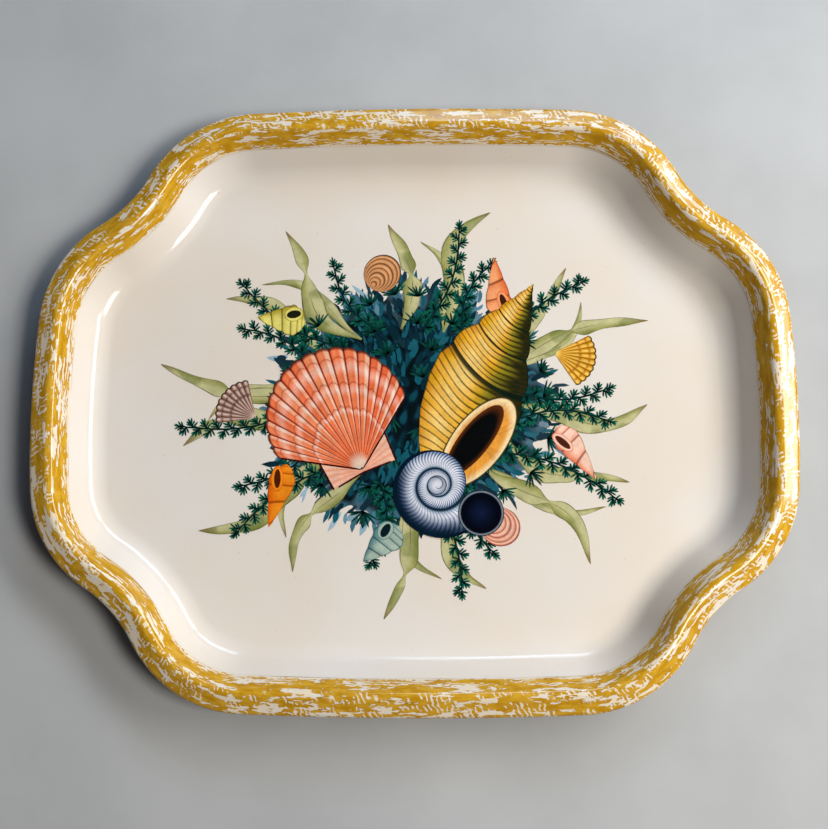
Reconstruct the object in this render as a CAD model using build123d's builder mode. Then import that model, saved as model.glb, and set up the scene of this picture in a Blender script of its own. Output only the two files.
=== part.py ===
from build123d import *

import math
import os

# A promotional serving tray: one sheet of tinplate pressed to a shallow pan with an ogee-cornered
# outline, its edge rolled over a steel wire, and a group of sea shells and weed printed on the
# floor, one ink film for each part of the picture.
# Millimetres. The origin is the centre of the underside of the floor, the resting plane, with
# +X along the length and +Z up out of the pan.

# Driving dimensions
tray_length = 395.0
tray_width = 318.0
tray_height = 22.2
sheet = 0.35
wire_radius = 1.5
wire_clearance = 0.1
ink = 0.05

# Outline of one quarter: long edge, shoulder, hollow of the corner, second shoulder, short edge.
# Turns are degrees, clockwise seen from above, and the hollow turns the other way.
long_edge_turn = 2.3
shoulder_radius, shoulder_turn = 66.0, 59.5
hollow_radius, hollow_turn = 72.0, 29.5
end_shoulder_radius, end_shoulder_turn = 66.0, 53.5
short_edge_turn = 90.0 - long_edge_turn - shoulder_turn + hollow_turn - end_shoulder_turn

# Section of the rim
wall_angle = 52.0
flange_angle = 20.0
flange_length = 7.6
crest_radius = 4.0
cove_radius = 14.0
curl_turn = 285.0

# Picture: half lengths and half widths of the ovals that lay it out round the floor's middle
tip_reach = (138.0, 112.0)
root_reach = (54.0, 42.0)
small_shell_reach = (92.0, 74.0)
wash_reach = (80.0, 68.0)
wash_lobes, wash_depth = 12, 5.0

# Fan-shaped scallop: place of its hinge, heading of its ribs, and its round edge
scallop_hinge, scallop_heading = (-26.0, -34.0), 116.0
scallop_radius, scallop_offset = 37.0, 31.0
ear_length, ear_width = 15.0, 18.0

# Whelk: place of its foot, heading of its spire, and its lengths from the foot
whelk_foot, whelk_heading = (10.0, -38.0), 62.0
whelk_length, whelk_shoulder, whelk_half_width = 118.0, 56.0, 27.0
whelk_foot_half_width = 5.0

# Round spiral shell with its mouth at the side
spiral_centre, spiral_radius = (16.0, -48.0), 26.0
mouth_heading, mouth_offset, mouth_radius = -24.0, 22.0, 12.0

# Small shells: half length and half width of each kind, in order round the group
spindle, fan, turban, clam = (17.0, 6.5), (11.0, 10.0), (13.0, 8.0), (10.5, 10.0)
small_shells = (fan, spindle, clam, turban, fan, spindle, turban, clam, spindle)
first_small_shell, small_shell_lean = 20.0, 35.0

# Weed: one ribbon leaf and one fern sprig to each step round the picture
weed_count = 15
leaf_width, leaf_bow = 9.5, 9.0
stem_width, sprig_bow, sprig_share = 1.2, 6.0, 0.9
needle_length = 5.0
needle_width = 1.3
needle_spacing = 6.0
needle_lean = 60


def run(angle):
    """Step along X of a unit arc from heading 0 to a heading of angle degrees."""
    return math.sin(math.radians(angle))


def rise(angle):
    """Step along Y of a unit arc from heading 0 to a heading of angle degrees."""
    return 1 - math.cos(math.radians(angle))


def edge_radii():
    """Radii of the long and short edges that close the quarter on the stated length and width."""
    after_shoulder = long_edge_turn + shoulder_turn
    after_hollow = after_shoulder - hollow_turn
    after_end = after_hollow + end_shoulder_turn
    x = shoulder_radius * (run(after_shoulder) - run(long_edge_turn))
    x += hollow_radius * (run(after_shoulder) - run(after_hollow))
    x += end_shoulder_radius * (run(after_end) - run(after_hollow))
    y = shoulder_radius * (rise(after_shoulder) - rise(long_edge_turn))
    y += hollow_radius * (rise(after_shoulder) - rise(after_hollow))
    y += end_shoulder_radius * (rise(after_end) - rise(after_hollow))
    left_x = tray_length / 2 - x
    left_y = tray_width / 2 - y
    across, down = 1 - run(after_end), 1 - rise(after_end)
    determinant = run(long_edge_turn) * down - rise(long_edge_turn) * across
    long_edge = (left_x * down - left_y * across) / determinant
    short_edge = (left_y * run(long_edge_turn) - left_x * rise(long_edge_turn)) / determinant
    return long_edge, short_edge


long_edge_radius, short_edge_radius = edge_radii()
quarter_arcs = (
    (long_edge_radius, -long_edge_turn),
    (shoulder_radius, -shoulder_turn),
    (hollow_radius, hollow_turn),
    (end_shoulder_radius, -end_shoulder_turn),
    (short_edge_radius, -short_edge_turn),
)


def draw_outline(inset=0.0):
    """Draws the closed tray outline, moved inward by inset, in the active BuildLine."""
    start, heading = (0, tray_width / 2 - inset), (1, 0)
    for radius, turn in quarter_arcs:
        arc = JernArc(start, heading, radius + math.copysign(inset, turn), turn)
        start, heading = arc @ 1, arc % 1
    mirror(about=Plane.XZ)
    mirror(about=Plane.YZ)


# Sizes of the section that follow from the driving ones, on the middle of the sheet
curl_radius = wire_radius + wire_clearance + sheet / 2
bead_inset = curl_radius + sheet / 2
crest_height = tray_height - sheet / 2
wall_rise = crest_height - sheet / 2 - (crest_radius + cove_radius) * rise(wall_angle)
wall_length = wall_rise / run(wall_angle)
flange_end = bead_inset - curl_radius * run(flange_angle)
crest_end = flange_end + flange_length * math.cos(math.radians(flange_angle))
crest_start = crest_end + crest_radius * (run(flange_angle) + run(wall_angle))
wall_foot = crest_start + wall_length * math.cos(math.radians(wall_angle))
floor_inset = wall_foot + cove_radius * run(wall_angle)
flange_drop = crest_radius * rise(flange_angle) + flange_length * run(flange_angle)
bead_height = crest_height - flange_drop - curl_radius * math.cos(math.radians(flange_angle))


# The sheet: floor, cove, wall, crest, flange and the curl that holds the wire
with BuildPart() as tray_pan:
    with BuildLine() as rim_path:
        draw_outline()
    rim_plane = Plane(origin=(0, tray_width / 2, 0), x_dir=(0, 1, 0), z_dir=(1, 0, 0))
    with BuildSketch(rim_plane):
        with BuildLine():
            cove = JernArc((-floor_inset, sheet / 2), (1, 0), cove_radius, wall_angle)
            wall = PolarLine(cove @ 1, wall_length, direction=cove % 1)
            crest = JernArc(wall @ 1, wall % 1, crest_radius, -wall_angle - flange_angle)
            flange = PolarLine(crest @ 1, flange_length, direction=crest % 1)
            JernArc(flange @ 1, flange % 1, curl_radius, -curl_turn)
        trace(line_width=sheet)
    sweep(path=rim_path.wire())
    with BuildSketch():
        with BuildLine():
            draw_outline(floor_inset)
        make_face()
    extrude(amount=sheet)

# The stiffening wire, bent to the outline and butted end to end, inside the curl
with BuildPart() as rim_wire:
    with BuildLine() as wire_path:
        draw_outline(bead_inset)
    wire_plane = Plane(
        origin=(0, tray_width / 2 - bead_inset, 0), x_dir=(0, 1, 0), z_dir=(1, 0, 0)
    )
    with BuildSketch(wire_plane):
        with Locations((0, bead_height)):
            Circle(wire_radius)
    sweep(path=wire_path.wire())


# The picture. Each film lies flat on the floor, and a film behind another is cut away under it.
floor_top = Plane.XY.offset(sheet)


def draw_blade(base, tip, bow, width):
    """Adds a pointed blade from base to tip, bowed to its left by bow, in the active sketch."""
    base, tip = Vector(*base), Vector(*tip)
    middle = (base + tip) / 2
    side = (tip - base).normalized().rotate(Axis.Z, 90)
    with BuildLine() as edges:
        ThreePointArc(base, middle + side * (bow + width / 2), tip)
        ThreePointArc(base, middle + side * (bow - width / 2), tip)
    make_face(edges.edges())


def draw_sprig(base, tip, bow):
    """Adds a fern sprig: a bowed stem with a needle to each side at every spacing."""
    draw_blade(base, tip, bow, stem_width)
    start, end = Vector(*base), Vector(*tip)
    side = (end - start).normalized().rotate(Axis.Z, 90)
    stem = ThreePointArc(start, (start + end) / 2 + side * bow, end, mode=Mode.PRIVATE)
    steps = int(stem.length / needle_spacing)
    for step in range(1, steps):
        joint = stem @ (step / steps)
        heading = stem.tangent_angle_at(step / steps)
        for lean in (-needle_lean, needle_lean):
            with Locations(Location((joint.X, joint.Y, 0), (0, 0, heading + lean))):
                with Locations((needle_length / 2, 0)):
                    Ellipse(needle_length / 2, needle_width / 2)


def on_oval(reach, angle, share=1.0):
    """Point of an oval about the middle of the floor, at an angle from +X."""
    turn = math.radians(angle)
    return (reach[0] * share * math.cos(turn), reach[1] * share * math.sin(turn))


def from_place(origin, heading, forward, left=0.0):
    """Point forward and to the left of an origin, as seen facing the heading."""
    return Vector(*origin) + Vector(forward, left).rotate(Axis.Z, heading)


# Spiral shell, at the front
with BuildSketch(floor_top) as spiral_shape:
    with Locations(spiral_centre):
        Circle(spiral_radius)
    with Locations(from_place(spiral_centre, mouth_heading, mouth_offset)):
        Circle(mouth_radius)

# Scallop: a round fan with an ear to each side of its hinge
with BuildSketch(floor_top) as scallop_shape:
    with Locations(from_place(scallop_hinge, scallop_heading, scallop_offset)):
        Circle(scallop_radius)
    with BuildLine():
        Polyline(
            from_place(scallop_hinge, scallop_heading, 0, ear_width),
            from_place(scallop_hinge, scallop_heading, 0, -ear_width),
            from_place(scallop_hinge, scallop_heading, ear_length, -ear_width),
            from_place(scallop_hinge, scallop_heading, ear_length, ear_width),
            close=True,
        )
    make_face()
    add(spiral_shape.sketch, mode=Mode.SUBTRACT)

# Whelk: from a narrow foot out to the shoulder, then a straight spire
with BuildSketch(floor_top) as whelk_shape:
    with BuildLine():
        for side in (1, -1):
            foot = from_place(whelk_foot, whelk_heading, 0, side * whelk_foot_half_width)
            belly = from_place(
                whelk_foot, whelk_heading, whelk_shoulder / 2, side * whelk_half_width * 0.85
            )
            shoulder = from_place(whelk_foot, whelk_heading, whelk_shoulder, side * whelk_half_width)
            tip = from_place(whelk_foot, whelk_heading, whelk_length)
            ThreePointArc(foot, belly, shoulder)
            Line(shoulder, tip)
        Line(
            from_place(whelk_foot, whelk_heading, 0, whelk_foot_half_width),
            from_place(whelk_foot, whelk_heading, 0, -whelk_foot_half_width),
        )
    make_face()
    for front in (spiral_shape, scallop_shape):
        add(front.sketch, mode=Mode.SUBTRACT)

# Small shells round the group, each pointing out and leaning to one side or the other
with BuildSketch(floor_top) as small_shells_shape:
    for index, (half_length, half_width) in enumerate(small_shells):
        angle = first_small_shell + 360 * index / len(small_shells)
        lean = small_shell_lean if index % 2 else -small_shell_lean
        with Locations(Location((*on_oval(small_shell_reach, angle), 0), (0, 0, angle + lean))):
            Ellipse(half_length, half_width)
    for front in (spiral_shape, scallop_shape, whelk_shape):
        add(front.sketch, mode=Mode.SUBTRACT)

# Fern weed, between the leaves, every second sprig shorter
with BuildSketch(floor_top) as fern_shape:
    for index in range(weed_count):
        angle = 360 * (index + 0.5) / weed_count
        share = sprig_share if index % 2 else sprig_share - 0.14
        bow = sprig_bow if index % 3 else -sprig_bow
        draw_sprig(on_oval(root_reach, angle), on_oval(tip_reach, angle + bow, share), bow)
    for front in (spiral_shape, scallop_shape, whelk_shape, small_shells_shape):
        add(front.sketch, mode=Mode.SUBTRACT)

# Ribbon weed, bowed to alternate sides
with BuildSketch(floor_top) as ribbon_shape:
    for index in range(weed_count):
        angle = 360 * index / weed_count
        share = 1.0 if index % 2 else 0.9
        bow = leaf_bow if index % 2 else -leaf_bow
        draw_blade(on_oval(root_reach, angle), on_oval(tip_reach, angle, share), bow, leaf_width)
    for front in (spiral_shape, scallop_shape, whelk_shape, small_shells_shape, fern_shape):
        add(front.sketch, mode=Mode.SUBTRACT)

# Blue wash, the feathery shadow between the shells
wash_points = 4 * wash_lobes
with BuildSketch(floor_top) as wash_shape:
    with BuildLine():
        ring = []
        for step in range(wash_points):
            angle = 360 * step / wash_points
            swell = wash_depth * math.cos(math.radians(wash_lobes * angle))
            ring.append(Vector(*on_oval(wash_reach, angle)) + Vector(swell, 0).rotate(Axis.Z, angle))
        Spline(*ring, periodic=True)
    make_face()
    for front in (
        spiral_shape, scallop_shape, whelk_shape, small_shells_shape, fern_shape, ribbon_shape
    ):
        add(front.sketch, mode=Mode.SUBTRACT)

with BuildPart() as scallop_print:
    extrude(scallop_shape.sketch, amount=ink)

with BuildPart() as spiral_shell_print:
    extrude(spiral_shape.sketch, amount=ink)

with BuildPart() as whelk_print:
    extrude(whelk_shape.sketch, amount=ink)

with BuildPart() as small_shells_print:
    extrude(small_shells_shape.sketch, amount=ink)

with BuildPart() as fern_weed_print:
    extrude(fern_shape.sketch, amount=ink)

with BuildPart() as ribbon_weed_print:
    extrude(ribbon_shape.sketch, amount=ink)

with BuildPart() as blue_wash_print:
    extrude(wash_shape.sketch, amount=ink)

pieces = {
    "tray_pan": tray_pan,
    "rim_wire": rim_wire,
    "scallop_print": scallop_print,
    "spiral_shell_print": spiral_shell_print,
    "whelk_print": whelk_print,
    "small_shells_print": small_shells_print,
    "fern_weed_print": fern_weed_print,
    "ribbon_weed_print": ribbon_weed_print,
    "blue_wash_print": blue_wash_print,
}
os.makedirs("parts", exist_ok=True)
for name, piece in pieces.items():
    piece.part.label = name
    export_step(piece.part, f"parts/{name}.step")
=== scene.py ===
import math

import bpy
import numpy as np
from mathutils import Matrix, Vector


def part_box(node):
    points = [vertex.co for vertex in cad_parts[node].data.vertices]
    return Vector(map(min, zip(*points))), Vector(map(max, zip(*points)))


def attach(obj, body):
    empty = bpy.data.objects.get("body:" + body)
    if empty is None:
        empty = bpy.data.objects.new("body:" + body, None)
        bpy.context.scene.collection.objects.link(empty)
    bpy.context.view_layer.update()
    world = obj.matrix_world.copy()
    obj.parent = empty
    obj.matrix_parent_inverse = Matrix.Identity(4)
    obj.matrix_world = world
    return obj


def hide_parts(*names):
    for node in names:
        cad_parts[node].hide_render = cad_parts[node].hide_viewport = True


# The looks of a lithographed serving tray: a glossy cream pan with a gold dry-brushed border,
# gold lacquer underneath, and a painted group of sea shells and weed on the floor.
# Lengths are millimetres on the tray, with +X right and +Y up the picture, and MM turns them
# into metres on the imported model. Colours are given as screen colours, 0 to 255.

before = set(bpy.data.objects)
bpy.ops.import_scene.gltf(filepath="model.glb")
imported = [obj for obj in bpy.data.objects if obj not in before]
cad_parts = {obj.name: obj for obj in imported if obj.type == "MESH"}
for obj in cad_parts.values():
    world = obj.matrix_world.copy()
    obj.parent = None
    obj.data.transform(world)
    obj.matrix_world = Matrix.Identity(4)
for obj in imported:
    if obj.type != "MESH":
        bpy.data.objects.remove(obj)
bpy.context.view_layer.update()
PAN_LOW, PAN_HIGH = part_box("tray_pan")
FLOOR_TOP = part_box("scallop_print")[0].z
LENGTH = 395.0
MM = (PAN_HIGH.x - PAN_LOW.x) / LENGTH
WIDTH = (PAN_HIGH.y - PAN_LOW.y) / MM
HEIGHT = (PAN_HIGH.z - PAN_LOW.z) / MM
SHEET = (FLOOR_TOP - PAN_LOW.z) / MM

INK = 0.02
LAYER_STEP = 0.03


# ---- colours and curves

def srgb(red, green, blue):
    """Linear colour of a screen colour."""
    channels = np.array([red, green, blue], float) / 255
    return np.where(channels < 0.04045, channels / 12.92, ((channels + 0.055) / 1.055) ** 2.4)


def smooth(low, high, value):
    """0 at low, 1 at high, smooth between; low may be above high."""
    share = np.clip((value - low) / (high - low), 0, 1)
    return share * share * (3 - 2 * share)


def mix(first, second, share):
    """Blend of two colours or colour fields by a share that may be a field."""
    share = np.asarray(share, float)[..., None]
    return np.asarray(first) * (1 - share) + np.asarray(second) * share


def layered(colour, *layers):
    """A colour with others brushed over it in turn, each with its share."""
    for top, share in layers:
        colour = mix(colour, top, share)
    return colour


def bump(centre, width, value):
    """1 at the centre, falling to 0 at half a width to each side."""
    return smooth(width / 2, 0, np.abs(value - centre))


def at_ends(low, high, value):
    """1 towards either end of a value from 0 to 1; low and high are the smooth steps there."""
    return np.maximum(smooth(*low, value), smooth(*high, value))


def cloud(x, y, scale, seed):
    """Soft repeatable noise between 0 and 1 over a place in mm."""
    random = np.random.default_rng(seed)
    total = 0
    waves = 7
    for _ in range(waves):
        angle = random.uniform(0, 2 * math.pi)
        pitch = scale * random.uniform(0.6, 1.7)
        phase = random.uniform(0, 2 * math.pi)
        travel = x * math.cos(angle) + y * math.sin(angle)
        total = total + np.sin(travel * 2 * math.pi / pitch + phase)
    return np.clip(0.5 + total / waves * 1.1, 0, 1)


def unit(degrees):
    """Unit vector at an angle from +X."""
    angle = np.radians(degrees)
    return np.stack([np.cos(angle), np.sin(angle)], -1)


def along(points, count):
    """A smooth curve through the points, as count evenly spaced points."""
    points = np.asarray(points, float)
    padded = np.vstack([2 * points[0] - points[1], points, 2 * points[-1] - points[-2]])
    t = np.linspace(0, 1, 24, endpoint=False)[:, None]
    stretches = []
    for before, start, end, after in zip(padded, padded[1:], padded[2:], padded[3:]):
        stretches.append(0.5 * (
            2 * start + (end - before) * t
            + (2 * before - 5 * start + 4 * end - after) * t ** 2
            + (3 * start - before - 3 * end + after) * t ** 3
        ))
    curve = np.vstack(stretches + [points[-1:]])
    length = np.r_[0, np.cumsum(np.linalg.norm(np.diff(curve, axis=0), axis=1))]
    places = np.linspace(0, length[-1], count)
    return np.c_[np.interp(places, length, curve[:, 0]), np.interp(places, length, curve[:, 1])]


def normals_of(curve):
    """Unit normals to the left of a sampled curve."""
    heading = np.gradient(curve, axis=0)
    heading /= np.linalg.norm(heading, axis=1, keepdims=True) + 1e-9
    return np.c_[-heading[:, 1], heading[:, 0]]


def between(first, second, shares):
    """Curves from first to second at each share, shape (shares, points, 2)."""
    shares = np.asarray(shares, float)[:, None, None]
    return np.asarray(first)[None] * (1 - shares) + np.asarray(second)[None] * shares


# ---- ink films

class Film:
    """Flat painted patches collected into one thin printed piece."""

    def __init__(self, name, node, slot, layer):
        self.name, self.node, self.slot, self.layer = name, node, slot, layer
        self.points, self.faces, self.paint, self.count = [], [], [], 0

    def patch(self, grid, colours, lift=0):
        """Adds a grid of points, shape (rows, columns, 2), with a colour for each point."""
        grid = np.asarray(grid, float)
        rows, columns = grid.shape[:2]
        colours = np.broadcast_to(np.asarray(colours, float), (rows, columns, 3))
        height = np.full((rows * columns, 1), float(lift))
        self.points.append(np.hstack([grid.reshape(-1, 2), height]))
        self.paint.append(colours.reshape(-1, 3))
        corner = np.arange(rows - 1)[:, None] * columns + np.arange(columns - 1)[None]
        quads = np.stack([corner, corner + 1, corner + columns + 1, corner + columns], -1)
        first = grid[1:, 1:] - grid[:-1, :-1]
        second = grid[1:, :-1] - grid[:-1, 1:]
        if np.sum(first[..., 0] * second[..., 1] - first[..., 1] * second[..., 0]) < 0:
            quads = quads[..., ::-1]
        self.faces.append(quads.reshape(-1, 4) + self.count)
        self.count += rows * columns

    def stroke(self, points, width, colour, lift=0, start=0.3, end=0.1, count=40):
        """A brush line along a curve, narrowed to a share of its width at each end."""
        curve = along(points, count)
        share = np.linspace(0, 1, count)
        narrowing = np.minimum(1, start + share / 0.25) * np.minimum(1, end + (1 - share) / 0.3)
        side = normals_of(curve) * (width / 2 * narrowing)[:, None]
        self.patch(np.stack([curve - side, curve, curve + side], 1), colour, lift)

    def build(self, material):
        """Makes the piece, a closed film as thick as the ink, and puts it in the frame."""
        points = np.vstack(self.points)
        points[:, 2] = (points[:, 2] + self.layer) * LAYER_STEP + INK
        points *= MM
        points[:, 2] += FLOOR_TOP
        piece = new_piece(self.name, points, np.vstack(self.faces), material)
        paint = piece.data.color_attributes.new("paint", "FLOAT_COLOR", "POINT")
        rgba = np.hstack([np.vstack(self.paint), np.ones((self.count, 1))])
        paint.data.foreach_set("color", rgba.astype(np.float32).ravel())
        thicken(piece, INK * MM)
        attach(piece, "root")
        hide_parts(self.node)


def new_piece(name, points, faces, material):
    """A mesh object from arrays of points and faces."""
    mesh = bpy.data.meshes.new(name)
    mesh.from_pydata(np.asarray(points).tolist(), [], [list(face) for face in faces])
    mesh.materials.append(material)
    piece = bpy.data.objects.new(name, mesh)
    bpy.context.scene.collection.objects.link(piece)
    return piece


def thicken(piece, thickness):
    """Gives an open sheet a thickness below its face, with closed sides."""
    solid = piece.modifiers.new("thickness", "SOLIDIFY")
    solid.thickness, solid.offset = thickness, -1.0
    bpy.context.view_layer.update()
    graph = bpy.context.evaluated_depsgraph_get()
    result = bpy.data.meshes.new_from_object(piece.evaluated_get(graph))
    piece.modifiers.clear()
    piece.data = result


# ---- node materials

class Nodes:
    """A node tree being put together."""

    def __init__(self, tree):
        self.tree = tree

    def put(self, socket, value):
        """Sets a socket to a number or colour, or links another socket to it."""
        if isinstance(value, bpy.types.NodeSocket):
            self.tree.links.new(value, socket)
        elif np.ndim(value):
            socket.default_value = (*value, 1.0) if len(socket.default_value) == 4 else value
        else:
            socket.default_value = value

    def node(self, kind, inputs, **settings):
        """Outputs of a new node; its inputs are given by name or number."""
        node = self.tree.nodes.new("ShaderNode" + kind)
        for name, setting in settings.items():
            setattr(node, name, setting)
        for key, value in inputs.items():
            self.put(node.inputs[key], value)
        return node.outputs

    def place(self, scale=(1, 1, 1), source=None):
        """Object position in mm, or another vector, scaled per axis."""
        if source is None:
            source = self.node("TexCoord", {})["Object"]
            scale = [share / MM for share in scale]
        return self.node("VectorMath", {0: source, 1: scale}, operation="MULTIPLY")[0]

    def attribute(self, name, output="Color"):
        return self.node("Attribute", {}, attribute_name=name)[output]

    def noise(self, place, scale, detail=3.0, roughness=0.55):
        inputs = {"Vector": place, "Scale": scale, "Detail": detail, "Roughness": roughness}
        return self.node("TexNoise", inputs)["Fac"]

    def math(self, operation, *values):
        return self.node("Math", dict(enumerate(values)), operation=operation)[0]

    def step(self, value, low, high, out_low=0.0, out_high=1.0):
        """Smooth change from out_low to out_high as value goes from low to high."""
        inputs = dict(enumerate((value, low, high, out_low, out_high)))
        return self.node("MapRange", inputs, interpolation_type="SMOOTHSTEP")[0]

    def mix(self, share, first, second, mode="MIX"):
        inputs = {"Factor": share, 6: first, 7: second}
        return self.node("Mix", inputs, data_type="RGBA", blend_type=mode)[2]

    def relief(self, height, distance, strength=1.0):
        """Bumps the surface by a height field, distance in mm."""
        inputs = {"Strength": strength, "Distance": distance * MM, "Height": height}
        return self.node("Bump", inputs)[0]


class Paint(Nodes):
    """The node material of one finish."""

    def __init__(self, name, roughness=0.2, metallic=0.0):
        self.material = bpy.data.materials.new(name)
        self.material.use_nodes = True
        super().__init__(self.material.node_tree)
        self.set("Roughness", roughness)
        self.set("Metallic", metallic)

    def set(self, name, value):
        self.put(self.tree.nodes["Principled BSDF"].inputs[name], value)


CREAM = srgb(231, 225, 219)
WARM_CREAM = srgb(230, 219, 206)
# Turns the cosine and sine of the rim attribute into mm along the rim
RIM_RADIUS = 189.0
# Border print: noise level above which there is gold, pitch of its fine lines in mm, and comb
# strokes in one turn of the rim
GOLD_LEVEL, GRAIN_PITCH, COMB_STROKES = 0.672, 1.5, 420


def varnish(paint):
    """The stoved varnish over enamel and ink alike: slow waves, fine peel and hairline wear."""
    place = paint.place()
    waves = paint.noise(place, 0.012, 1.0)
    peel = paint.noise(place, 0.7, 2.0)
    height = paint.math("MULTIPLY_ADD", peel, 0.012, waves)
    paint.set("Normal", paint.relief(height, 0.5, 0.55))
    hairlines = paint.noise(paint.place((0.05, 1.6, 1)), 1.0, 4.0, 0.7)
    crossing = paint.noise(paint.place((1.3, 0.04, 1)), 1.0, 4.0, 0.7)
    hairlines, crossing = paint.step(hairlines, 0.66, 0.72), paint.step(crossing, 0.68, 0.74)
    wear = paint.math("MAXIMUM", hairlines, crossing)
    haze = paint.step(paint.noise(place, 0.03, 4.0), 0.35, 0.75, 0.1, 0.19)
    paint.set("Roughness", paint.math("MULTIPLY_ADD", wear, 0.16, haze))


def cream_tone(paint):
    """The enamel's own colour: cream with slow warmer drifts and a few pale brown specks."""
    place = paint.place()
    drift = paint.step(paint.noise(place, 0.011, 2.0), 0.3, 0.7)
    tone = paint.mix(drift, CREAM, WARM_CREAM)
    specks = paint.step(paint.noise(place, 0.55, 2.0, 0.4), 0.755, 0.79, 0.0, 0.35)
    return paint.mix(specks, tone, srgb(170, 140, 105))


def enamel_paint():
    """Glossy cream enamel of the inside of the pan."""
    paint = Paint("cream_enamel")
    paint.set("Base Color", cream_tone(paint))
    varnish(paint)
    return paint.material


def border_paint():
    """Gold ochre dragged on with a dry brush over the cream, like wood grain.

    Fine lines run along the inner side, lens-shaped bare patches along the middle, and comb
    strokes across the outer side. The rim attribute holds the cosine and sine of the place
    round the rim and, third, the distance across the print from its inner edge in mm.
    """
    paint = Paint("gold_border")
    rim = paint.attribute("rim", "Vector")
    cosine, sine, across = paint.node("SeparateXYZ", {0: rim})

    def streaks(length, breadth, detail=2.0):
        scale = (RIM_RADIUS / length, RIM_RADIUS / length, 1 / breadth)
        return paint.noise(paint.place(scale, rim), 1.0, detail)

    wobble = paint.math("MULTIPLY", streaks(8.0, 5.0), 5.2)
    phase = paint.math("MULTIPLY", paint.math("ADD", across, wobble), 2 * math.pi / GRAIN_PITCH)
    grain = paint.math("SINE", phase)
    grain_share = paint.step(across, 4.5, 8.5, 0.1, 0.02)
    field = paint.math("MULTIPLY_ADD", streaks(5.0, 1.3), 0.5, streaks(15.0, 2.8))
    field = paint.math("MULTIPLY_ADD", grain, grain_share, field)
    ragged = paint.math("MULTIPLY_ADD", streaks(2.2, 2.0), 3.0, across)
    fade = paint.step(ragged, 1.6, 2.9, 0.5, 0.0)
    threshold = paint.math("ADD", fade, GOLD_LEVEL)
    gold_share = paint.step(field, threshold, paint.math("ADD", threshold, 0.016))

    # comb strokes across the rim, in patches on its outer side
    round_rim = paint.math("ARCTAN2", sine, cosine)
    slant = paint.math("MULTIPLY_ADD", across, 0.9, paint.math("MULTIPLY", streaks(5.0, 4.0), 14.0))
    comb = paint.math("SINE", paint.math("MULTIPLY_ADD", round_rim, COMB_STROKES, slant))
    patches = paint.step(streaks(8.0, 3.6), 0.51, 0.56)
    patches = paint.math("MULTIPLY", patches, paint.step(ragged, 10.5, 13.5))
    strokes = paint.math("MULTIPLY", paint.step(comb, 0.3, 0.6), patches)
    gold_share = paint.math("SUBTRACT", gold_share, strokes)
    lines = paint.step(streaks(46.0, 0.4, 1.0), 0.58, 0.62)
    lines = paint.math("MULTIPLY", lines, paint.step(across, 1.0, 3.6, 0.9, 0.0))
    gold_share = paint.math("MAXIMUM", gold_share, lines)

    tone = paint.step(streaks(8.0, 2.2, 3.0), 0.3, 0.7)
    gold = paint.mix(tone, srgb(188, 136, 12), srgb(216, 168, 48))
    edge = paint.step(field, threshold, paint.math("ADD", threshold, 0.06), 0.6, 0.0)
    gold = paint.mix(edge, gold, srgb(138, 104, 26))
    stain = paint.step(streaks(3.0, 1.5), 0.4, 0.6)
    bare = paint.mix(stain, cream_tone(paint), srgb(236, 220, 190))
    paint.set("Base Color", paint.mix(gold_share, bare, gold))
    varnish(paint)
    return paint.material


def ink_paint():
    """Printing ink under the varnish: the painted colour with watercolour bloom and grain."""
    paint = Paint("varnished_ink")
    place = paint.place()
    colour = paint.attribute("paint")
    bloom = paint.step(paint.noise(place, 0.11, 4.0, 0.65), 0.3, 0.72, 0.86, 1.1)
    grain = paint.step(paint.noise(place, 1.1, 3.0, 0.6), 0.25, 0.75, 0.92, 1.07)
    amount = paint.math("MULTIPLY", bloom, grain)
    amount = paint.node("CombineColor", dict.fromkeys(range(3), amount))[0]
    shaded = paint.mix(1.0, colour, amount, "MULTIPLY")
    paint.set("Base Color", shaded)
    varnish(paint)
    return paint.material


def lacquer_paint():
    """Gold lacquer over tinplate on the underside, with rubbed patches and stacking scuffs."""
    paint = Paint("gold_lacquer", metallic=0.85)
    place = paint.place()
    crystals = paint.noise(place, 0.16, 4.0, 0.6)
    tone = paint.mix(paint.step(crystals, 0.35, 0.65), srgb(176, 138, 72), srgb(205, 170, 104))
    scuffs = paint.noise(paint.place((0.06, 0.9, 1)), 1.0, 5.0, 0.7)
    bare = paint.step(scuffs, 0.66, 0.74, 0.0, 0.8)
    paint.set("Base Color", paint.mix(bare, tone, srgb(176, 172, 162)))
    paint.set("Roughness", paint.step(crystals, 0.3, 0.7, 0.24, 0.4))
    paint.set("Normal", paint.relief(crystals, 0.04, 0.4))
    return paint.material


def steel_paint(name, dark, light, pitch):
    """Drawn or cut steel: fine lines across the given pitch, with dull oxide patches."""
    paint = Paint(name, metallic=1.0)
    lines = paint.noise(paint.place((1, 1, pitch)), 0.8, 4.0, 0.7)
    oxide = paint.step(paint.noise(paint.place(), 0.05, 4.0), 0.5, 0.7, 0.0, 0.6)
    tone = paint.mix(paint.step(lines, 0.3, 0.7), dark, light)
    paint.set("Base Color", paint.mix(oxide, tone, srgb(110, 92, 74)))
    paint.set("Roughness", paint.step(lines, 0.3, 0.7, 0.3, 0.5))
    paint.set("Normal", paint.relief(lines, 0.02, 0.5))
    return paint.material


# ---- the pan

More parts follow.
